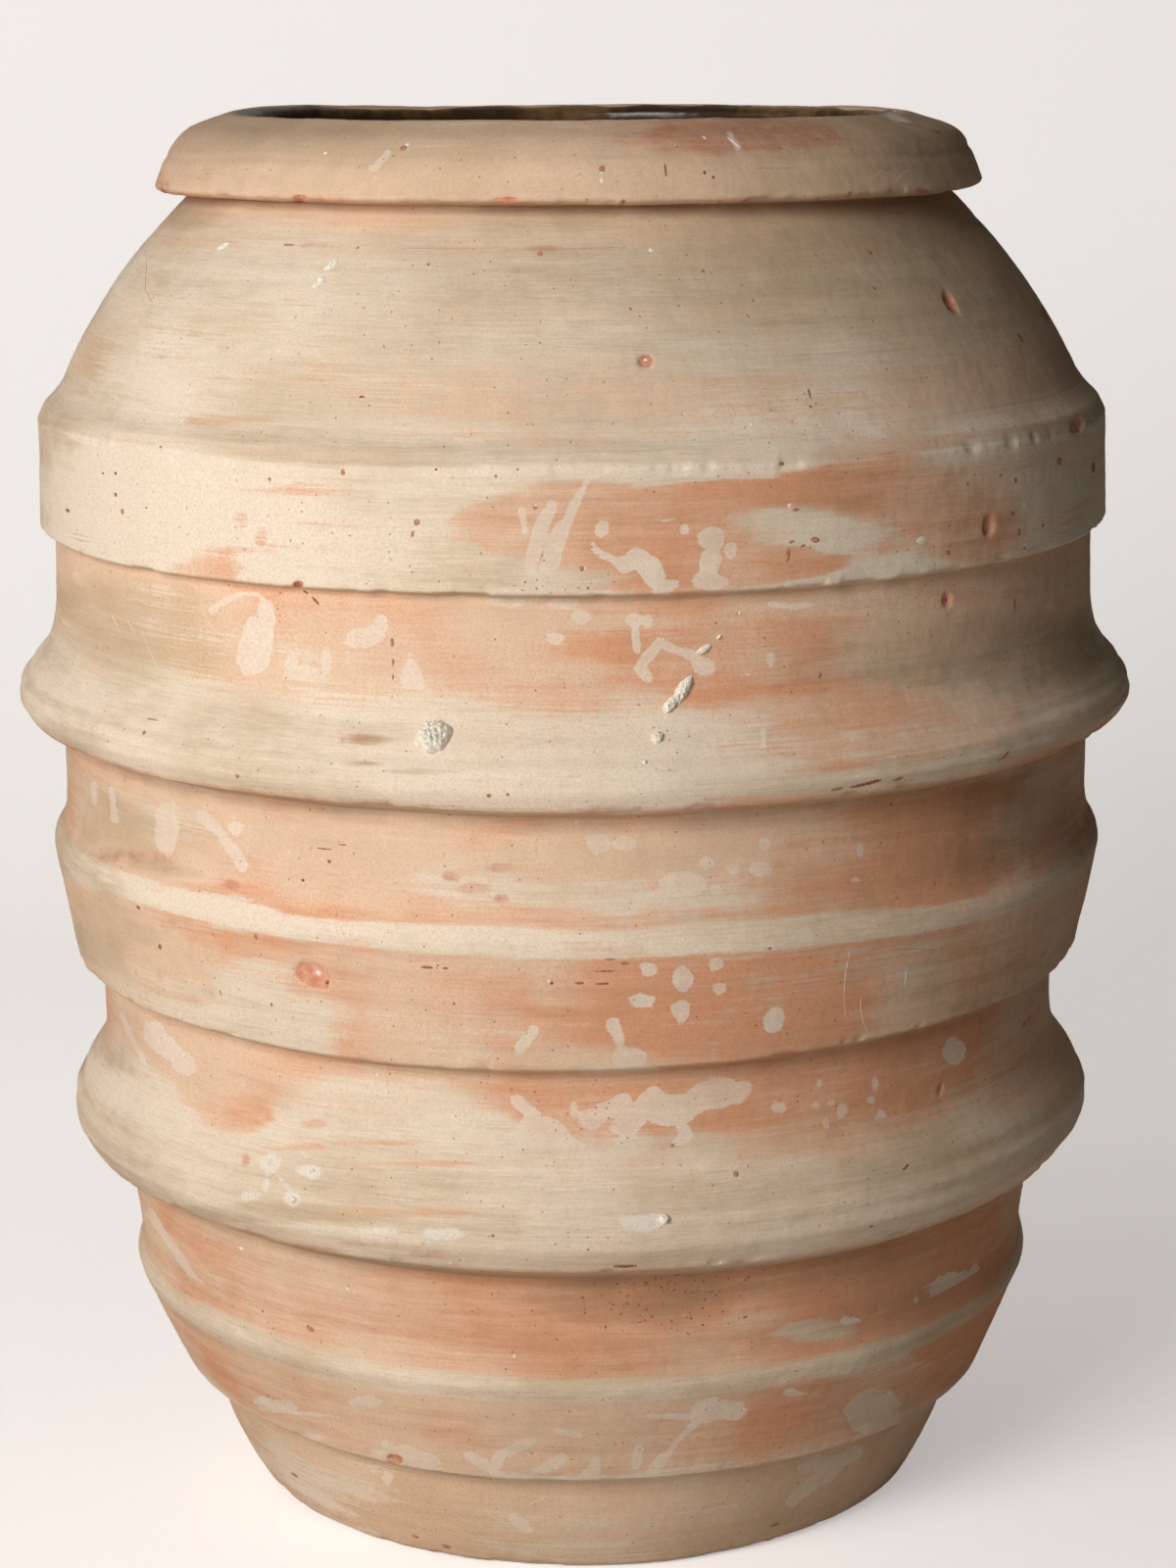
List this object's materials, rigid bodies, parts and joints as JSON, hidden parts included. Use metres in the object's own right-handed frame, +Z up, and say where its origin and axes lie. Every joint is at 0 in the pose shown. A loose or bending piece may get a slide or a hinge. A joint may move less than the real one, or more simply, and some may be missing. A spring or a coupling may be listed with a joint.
{
  "type": "olive jar",
  "caption": "Large barrel-shaped terracotta oil jar with flat belts and round rolls of clay round its body, an overhanging collar, an open mouth and a brown glazed inside.",
  "frame": {"origin": "middle of the flat face that the jar stands on", "axes": "+Z up along the jar's axis, out of the mouth; -Y is the side that the picture shows; +X is to its right"},
  "size_m": [0.741, 0.741, 0.9199],
  "materials": {
    "bare_terracotta": "matte",
    "slip_washed_terracotta": "matte",
    "brown_glaze": "gloss"
  },
  "bodies": {
    "root": {"floor_slab": "bare_terracotta", "collar": "slip_washed_terracotta", "glaze_lining": "brown_glaze", "foot_course": "bare_terracotta", "lower_course": "bare_terracotta", "low_belly_course": "bare_terracotta", "high_belly_course": "bare_terracotta", "upper_course": "bare_terracotta", "shoulder_course": "slip_washed_terracotta", "foot_belt": "slip_washed_terracotta", "lower_roll": "slip_washed_terracotta", "middle_belt": "slip_washed_terracotta", "upper_roll": "slip_washed_terracotta", "shoulder_belt": "slip_washed_terracotta"}
  },
  "joints": []
}
